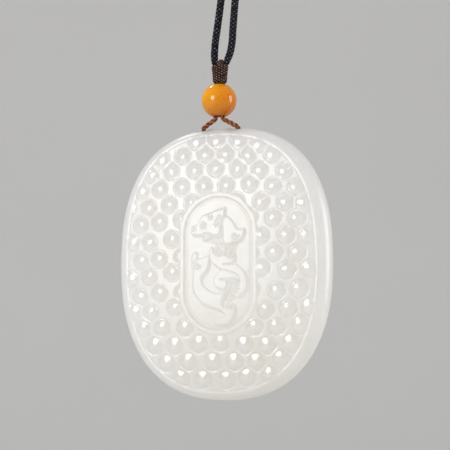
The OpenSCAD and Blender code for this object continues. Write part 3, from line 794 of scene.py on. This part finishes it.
relief = frontRelief(x, z, rimGap) * ease(rimGap, 0, 0.15)
frontPoints = np.stack([x, -(crownHeight.ravel() + relief), z], 1)

index = np.arange((count + 1) ** 2).reshape(count + 1, count + 1)
a, b, c, d = (k.ravel() for k in (index[:-1, :-1], index[1:, :-1], index[1:, 1:], index[:-1, 1:]))
alongEdge = (abs(relief[a] - relief[c]) < abs(relief[b] - relief[d]))[:, None]  # split where it is level
frontFaces = np.concatenate([np.where(alongEdge, np.stack([a, c, b], 1), np.stack([a, d, b], 1)),
                             np.where(alongEdge, np.stack([a, d, c], 1), np.stack([b, d, c], 1))])
border = np.concatenate([index[:-1, 0], index[-1, :-1], index[:0:-1, -1], index[0, :0:-1]])
borderTurn = turn.ravel()[border]

# every second border point goes on round the edge
edgeTurn = borderTurn[::2]
n = len(edgeTurn)
rimPlace, rimOut = outlinePoint(edgeTurn)
start = -np.arccos(1 - rimInset(edgeTurn) / edgeRadius)
step = np.linspace(0, 1, slab["edgeRings"] + 1)[1:]
swing = start + (math.pi / 2 - start) * step[:, None]
inset = edgeRadius * (1 - np.cos(swing))
edgePoints = np.stack([
    rimPlace[:, 0] - inset * rimOut[:, 0], edgeRadius * np.sin(swing), rimPlace[:, 1] - inset * rimOut[:, 1]], -1)

# two countersunk mouths in the top edge, as pits along the slanted holes
mouth = {"drop": -1, "across": 4.2, "down": 0.15, "radius": 1.25, "taper": 0.45, "deep": 2.2, "slope": 50.6,
         "nearby": 4}
slope = math.radians(mouth["slope"])
for way in (-1, 1):
    axis = np.array([-way * math.sin(slope), 0, -math.cos(slope)])
    middle = [mouth["drop"] + way * mouth["across"], -slab["y"], slab["height"] / 2 - mouth["down"]]
    away = edgePoints - middle
    along = away @ axis
    off = np.linalg.norm(away - along[..., None] * axis, axis=-1)
    sink = np.clip((mouth["radius"] - off) / mouth["taper"], 0, 1) * (abs(along) < mouth["nearby"])
    edgePoints = edgePoints + (sink * mouth["deep"])[..., None] * axis

backPlace = edgePoints[-1]
shrink = 1 - np.linspace(0, 1, slab["backRings"] + 1)[1:-1, None, None]
backPoints = backPlace * np.concatenate([shrink, 0 * shrink + 1, shrink], -1)

# the edge and the back are rings of points, each with half as many as the border of the front:
# five-cornered faces join the border, and triangles close the middle of the back
ringIndex = len(frontPoints) + np.arange((slab["edgeRings"] + slab["backRings"] - 1) * n).reshape(-1, n)
nextRing = np.roll(ringIndex, -1, axis=1)
stitch = np.stack([border[::2], border[1::2], np.roll(border[::2], -1), nextRing[0], ringIndex[0]], -1)
ringFaces = np.stack([ringIndex[:-1], nextRing[:-1], nextRing[1:], ringIndex[1:]], -1).reshape(-1, 4)
fan = np.stack([ringIndex[-1], nextRing[-1], np.full(n, len(frontPoints) + ringIndex.size)], -1)
points = np.concatenate([
    frontPoints, edgePoints.reshape(-1, 3), backPoints.reshape(-1, 3), [[0, edgeRadius, 0]]])
points = points + [0, slab["y"], slab["z"]]

# the bosses are polished most, the ground and the edge less, and the cartouche is satin
gloss = np.full(len(points), slab["edgeGloss"])
inCartouche = ease(stadiumDistance(x, z), -0.1, 0.1)
onBoss = np.clip(bossInside(x, z)[0] / boss["glossEdge"], 0, 1) * ease(rimGap, 0, boss["rimFade"])
gloss[:len(x)] = (1 - inCartouche) * (slab["groundGloss"] + (1 - slab["groundGloss"]) * onBoss)
plaque = makePiece("jadePlaque", points, [frontFaces, stitch, ringFaces, fan], jadeMaterial, {"gloss": gloss})
ends = np.empty(2 * len(plaque.data.edges), np.int32)
plaque.data.edges.foreach_get("vertices", ends)
isFoot = np.zeros(len(points), bool)
isFoot[:len(foot)] = foot
sharpEdge = plaque.data.attributes.new("sharp_edge", "BOOLEAN", "EDGE")  # round the foot of each boss
sharpEdge.data.foreach_set("value", isFoot[ends].reshape(-1, 2).all(1))
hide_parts("plaque")
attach(plaque, "plaque")


# floor, backdrop and lamps; matt painted cove: a pale floor that curves up into a round wall
cove = {"floor": -0.47, "inner": 0.4, "flat": 1.6, "curve": 0.8, "wall": 1.2, "around": 128, "bendRings": 24,
        "dark": "#F2F1EE", "light": "#F6F5F2", "mottlesPerMetre": 3}  # metres

coveMaterial, tree = newMaterial("mattPaintedCove")
place = addNode(tree, "TexCoord").outputs["Object"]
mottle = noise(tree, place, cove["mottlesPerMetre"], 2)
paint = mixColours(tree, mottle, cove["dark"], cove["light"])
addSurface(tree, {"Base Color": paint, "Roughness": 0.9, "Specular IOR Level": 0.2})

bend = np.linspace(0, math.pi / 2, cove["bendRings"])
coveProfile = np.concatenate([
    [[0.001, 0]], np.linspace([cove["inner"], 0], [cove["flat"], 0], 4)[:-1],
    np.stack([cove["flat"] + cove["curve"] * np.sin(bend), cove["curve"] * (1 - np.cos(bend))], 1),
    [[cove["flat"] + cove["curve"], cove["wall"]]]])
points = turnedProfile(coveProfile, cove["around"], [0, 0, cove["floor"]]) / mm
coveFaces = gridFaces(1, len(coveProfile), cove["around"])[:2]  # open at the top
backdrop = makePiece("paleCove", points, coveFaces, coveMaterial)

lamps = [  # name, azimuth, elevation, distance, width, height, watts
    ("keySoftbox", -23, 12.5, 0.9, 0.44, 0.44, 3.9),
    ("sideStrip", 103, 9.6, 0.8, 0.4, 0.5, 2.2),
    ("topBack", -123, 52, 0.8, 0.16, 0.16, 0.6)]
wash = {"place": (-0.55, 1.15, 0.25), "tilt": 80, "turn": 20, "width": 1.4, "height": 0.9, "watts": 1.2}
air = {"colour": (0.95, 0.96, 1.0, 1), "strength": 0.44}  # light from all around, linear and a little cool
aim = np.array([0, 0, -0.35])


def addLamp(name, shape, width, height, watts, place, rotation):
    # an area lamp that the camera doesn't see itself; width, height and place in metres
    data = bpy.data.lights.new(name, "AREA")
    data.shape = shape
    data.size, data.size_y, data.energy = width, height, watts
    lamp = bpy.data.objects.new(name, data)
    lamp.location, lamp.rotation_euler, lamp.visible_camera = place, rotation, False
    bpy.context.scene.collection.objects.link(lamp)


for name, azimuthDeg, elevationDeg, far, width, height, watts in lamps:
    direction, rotation = seenFrom(azimuthDeg, elevationDeg)
    addLamp(name, "ELLIPSE", width, height, watts, aim + direction * far, rotation)

# one more lamp turns its back to the plaque and washes the wall behind it
addLamp("wallWash", "RECTANGLE", wash["width"], wash["height"], wash["watts"], wash["place"],
        (math.radians(wash["tilt"]), 0, math.radians(wash["turn"])))

world = bpy.data.worlds.new("studioAir")
bpy.context.scene.world = world
world.use_nodes = True
background = world.node_tree.nodes["Background"]
background.inputs[0].default_value, background.inputs[1].default_value = air["colour"], air["strength"]
print("stage and lamps ready")
